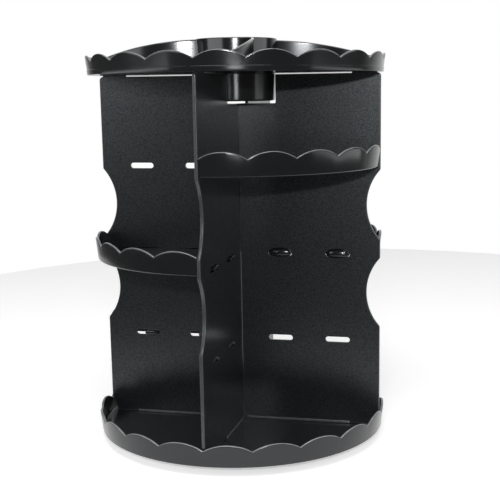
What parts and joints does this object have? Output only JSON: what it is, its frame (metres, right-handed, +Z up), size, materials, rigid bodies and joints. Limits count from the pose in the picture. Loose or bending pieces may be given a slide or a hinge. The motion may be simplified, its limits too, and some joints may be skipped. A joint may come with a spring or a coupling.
{
  "type": "rotating makeup organizer",
  "caption": "Round table carousel for make-up: scalloped open trays hung at different heights on crossed panels, with a brush cup on top, turning on a ball-bearing base.",
  "frame": {"origin": "on the table, under the turning axis", "axes": "+Z up along the turning axis, +X along the left-right panel, -Y towards the front"},
  "size_m": [0.2304, 0.2304, 0.3136],
  "materials": {
    "panel_plastic": "satin black with a fine moulded grain",
    "tray_plastic": "smooth semi-gloss black",
    "base_plastic": "matt black",
    "natural_plastic": "unpigmented slippery plastic",
    "steel": "bright steel",
    "foot_rubber": "soft matt rubber"
  },
  "bodies": {
    "base": {"base_plate": "base_plastic", "pivot_bush": "natural_plastic", "rubber_foot_1": "foot_rubber", "rubber_foot_2": "foot_rubber", "rubber_foot_3": "foot_rubber", "rubber_foot_4": "foot_rubber", "rubber_foot_5": "foot_rubber", "rubber_foot_6": "foot_rubber"},
    "bearing": {"ball_cage": "natural_plastic", "bearing_balls": "steel"},
    "carousel": {"bottom_tray": "tray_plastic", "pivot_screw": "steel", "pivot_washer": "steel", "panel_left_right": "panel_plastic", "panel_front_back": "panel_plastic", "tray_front_left": "tray_plastic", "tray_front_right": "tray_plastic", "tray_back_left": "tray_plastic", "tray_back_right": "tray_plastic", "top_tray": "tray_plastic"}
  },
  "joints": [
    {"name": "carousel_spin", "type": "hinge", "parent": "base", "child": "carousel", "pos_m": [0, 0, 0.007], "axis": [0, 0, 1], "continuous": true},
    {"name": "cage_roll", "type": "hinge", "parent": "base", "child": "bearing", "pos_m": [0, 0, 0.007], "axis": [0, 0, 1], "continuous": true}
  ],
  "couplings": [
    {"joint": "cage_roll", "follows": "carousel_spin", "ratio": 0.5}
  ]
}
